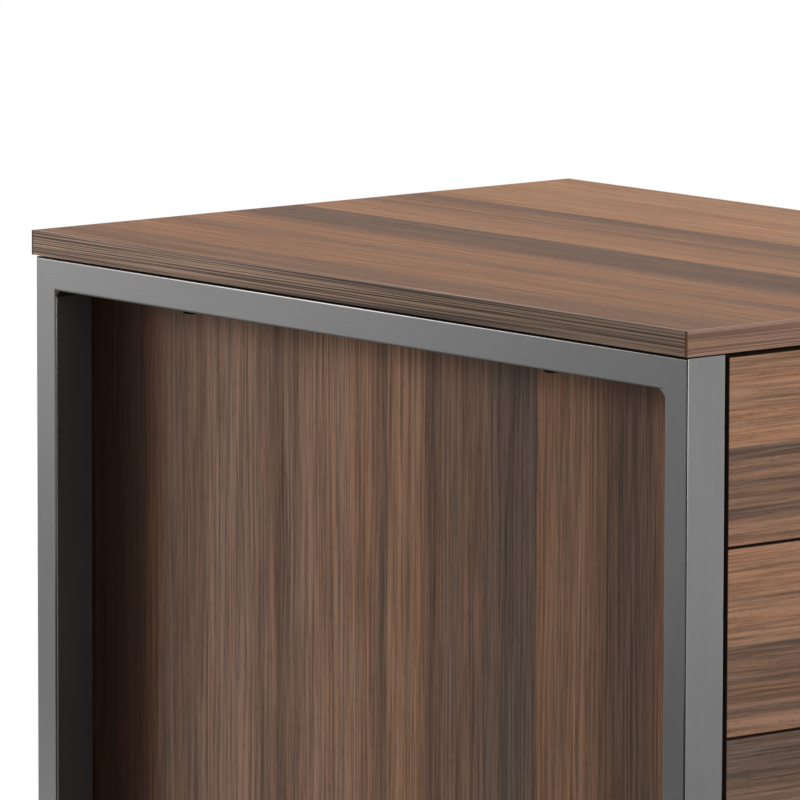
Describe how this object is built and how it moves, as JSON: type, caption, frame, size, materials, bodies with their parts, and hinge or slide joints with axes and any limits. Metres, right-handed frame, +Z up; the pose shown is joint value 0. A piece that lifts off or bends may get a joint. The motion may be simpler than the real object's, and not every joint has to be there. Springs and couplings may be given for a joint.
{
  "type": "filing cabinet",
  "caption": "Pedestal filing cabinet with a laminated wood case between two metal loop frames, box drawers over a file drawer, bar pulls, a cam lock and levelling feet.",
  "frame": {"origin": "on the floor, in the middle of the whole cabinet with its pulls", "axes": "+X right along the front, +Y from the front to the back, +Z up; the drawers open towards -Y"},
  "size_m": [0.445, 0.641, 0.61],
  "materials": {
    "laminate_top": "satin walnut laminate, grain from front to back",
    "laminate_edge": "walnut edge band, grain along its length",
    "laminate_panel": "satin walnut laminate, upright grain",
    "laminate_inner": "walnut laminate board",
    "laminate_front": "satin walnut laminate, grain across the front",
    "frame_paint": "satin metallic grey lacquer",
    "pull_paint": "satin metallic grey lacquer",
    "drawer_board": "grey laminated drawer board",
    "slide_steel": "zinc plated rolled steel",
    "dowel_wood": "plain beech",
    "foot_steel": "black coated steel",
    "dark_screw": "black oxide",
    "zinc_steel": "zinc plated",
    "pad_rubber": "black",
    "file_bar_steel": "zinc plated",
    "lock_chrome": "satin chrome",
    "lock_steel": "satin nickel"
  },
  "bodies": {
    "cabinet": {"back_panel": "laminate_panel", "base_screws": "dark_screw", "bottom_panel": "laminate_inner", "case_bolts": "zinc_steel", "case_dowels": "dowel_wood", "corner_welds": "frame_paint", "file_drawer_outer_slides": "slide_steel", "foot_nuts": "zinc_steel", "front_cross_rail": "frame_paint", "front_stretcher": "laminate_inner", "left_bottom_bar": "frame_paint", "left_front_post": "frame_paint", "left_rear_post": "frame_paint", "left_side_panel": "laminate_panel", "left_top_bar": "frame_paint", "rear_cross_rail": "frame_paint", "rear_stretcher": "laminate_inner", "right_bottom_bar": "frame_paint", "right_front_post": "frame_paint", "right_rear_post": "frame_paint", "right_side_panel": "laminate_panel", "right_top_bar": "frame_paint", "second_drawer_outer_slides": "slide_steel", "top_drawer_outer_slides": "slide_steel", "top_edge_bands": "laminate_edge", "top_pads": "pad_rubber", "top_panel": "laminate_top", "top_screws": "dark_screw"},
    "top_drawer": {"lock_barrel": "lock_chrome", "top_drawer_back": "drawer_board", "top_drawer_bottom": "drawer_board", "top_drawer_front": "laminate_front", "top_drawer_inner_slides": "slide_steel", "top_drawer_left_side": "drawer_board", "top_drawer_pull": "pull_paint", "top_drawer_right_side": "drawer_board"},
    "top_drawer_slide_stage": {"top_drawer_middle_slides": "slide_steel"},
    "second_drawer": {"second_drawer_back": "drawer_board", "second_drawer_bottom": "drawer_board", "second_drawer_front": "laminate_front", "second_drawer_inner_slides": "slide_steel", "second_drawer_left_side": "drawer_board", "second_drawer_pull": "pull_paint", "second_drawer_right_side": "drawer_board"},
    "second_drawer_slide_stage": {"second_drawer_middle_slides": "slide_steel"},
    "file_drawer": {"file_drawer_back": "drawer_board", "file_drawer_bottom": "drawer_board", "file_drawer_front": "laminate_front", "file_drawer_inner_slides": "slide_steel", "file_drawer_left_side": "drawer_board", "file_drawer_pull": "pull_paint", "file_drawer_right_side": "drawer_board", "hanging_file_bars": "file_bar_steel"},
    "file_drawer_slide_stage": {"file_drawer_middle_slides": "slide_steel"},
    "lock_core": {"lock_plug": "lock_steel", "lock_cam": "lock_steel"},
    "front_left_foot": {"front_left_foot": "foot_steel"},
    "front_right_foot": {"front_right_foot": "foot_steel"},
    "rear_left_foot": {"rear_left_foot": "foot_steel"},
    "rear_right_foot": {"rear_right_foot": "foot_steel"}
  },
  "joints": [
    {"name": "top_drawer_travel", "type": "slide", "parent": "cabinet", "child": "top_drawer", "axis": [0, -1, 0], "range_m": [0, 0.5]},
    {"name": "top_drawer_stage_travel", "type": "slide", "parent": "cabinet", "child": "top_drawer_slide_stage", "axis": [0, -1, 0], "range_m": [0, 0.25]},
    {"name": "second_drawer_travel", "type": "slide", "parent": "cabinet", "child": "second_drawer", "axis": [0, -1, 0], "range_m": [0, 0.5]},
    {"name": "second_drawer_stage_travel", "type": "slide", "parent": "cabinet", "child": "second_drawer_slide_stage", "axis": [0, -1, 0], "range_m": [0, 0.25]},
    {"name": "file_drawer_travel", "type": "slide", "parent": "cabinet", "child": "file_drawer", "axis": [0, -1, 0], "range_m": [0, 0.5]},
    {"name": "file_drawer_stage_travel", "type": "slide", "parent": "cabinet", "child": "file_drawer_slide_stage", "axis": [0, -1, 0], "range_m": [0, 0.25]},
    {"name": "lock_turn", "type": "hinge", "parent": "top_drawer", "child": "lock_core", "pos_m": [0.125, -0.2925, 0.5645], "axis": [0, 1, 0], "range_deg": [0, 90]},
    {"name": "front_left_foot_height", "type": "slide", "parent": "cabinet", "child": "front_left_foot", "axis": [0, 0, -1], "range_m": [0, 0.01]},
    {"name": "front_right_foot_height", "type": "slide", "parent": "cabinet", "child": "front_right_foot", "axis": [0, 0, -1], "range_m": [0, 0.01]},
    {"name": "rear_left_foot_height", "type": "slide", "parent": "cabinet", "child": "rear_left_foot", "axis": [0, 0, -1], "range_m": [0, 0.01]},
    {"name": "rear_right_foot_height", "type": "slide", "parent": "cabinet", "child": "rear_right_foot", "axis": [0, 0, -1], "range_m": [0, 0.01]}
  ],
  "couplings": [
    {"joint": "top_drawer_stage_travel", "follows": "top_drawer_travel", "ratio": 0.5},
    {"joint": "second_drawer_stage_travel", "follows": "second_drawer_travel", "ratio": 0.5},
    {"joint": "file_drawer_stage_travel", "follows": "file_drawer_travel", "ratio": 0.5}
  ]
}
